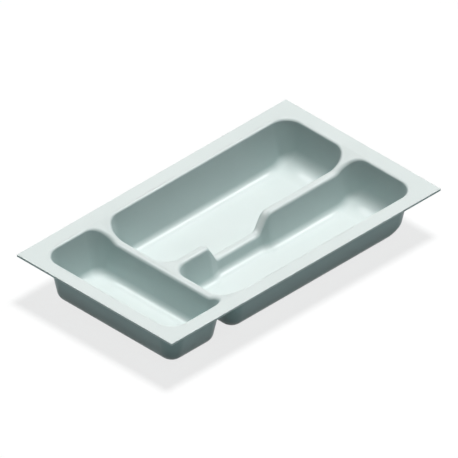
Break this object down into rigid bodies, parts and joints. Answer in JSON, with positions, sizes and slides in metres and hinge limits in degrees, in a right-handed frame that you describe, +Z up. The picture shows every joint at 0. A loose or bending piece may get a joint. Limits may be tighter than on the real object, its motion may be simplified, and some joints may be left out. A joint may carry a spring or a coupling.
{
  "type": "cutlery tray insert",
  "caption": "One-piece moulded drawer insert for cutlery: a flat flange round three tapered pockets, with rounded hollow dividers and a finger scoop in the lengthwise one.",
  "frame": {"origin": "middle of the bounding box at the underside of the pocket floors", "axes": "+X along the length away from the crosswise pocket, +Y to the back edge, +Z up out of the pockets"},
  "size_m": [0.45, 0.259, 0.0623],
  "materials": {
    "tray_plastic": "satin"
  },
  "bodies": {
    "root": {"tray_insert": "tray_plastic"}
  },
  "joints": []
}
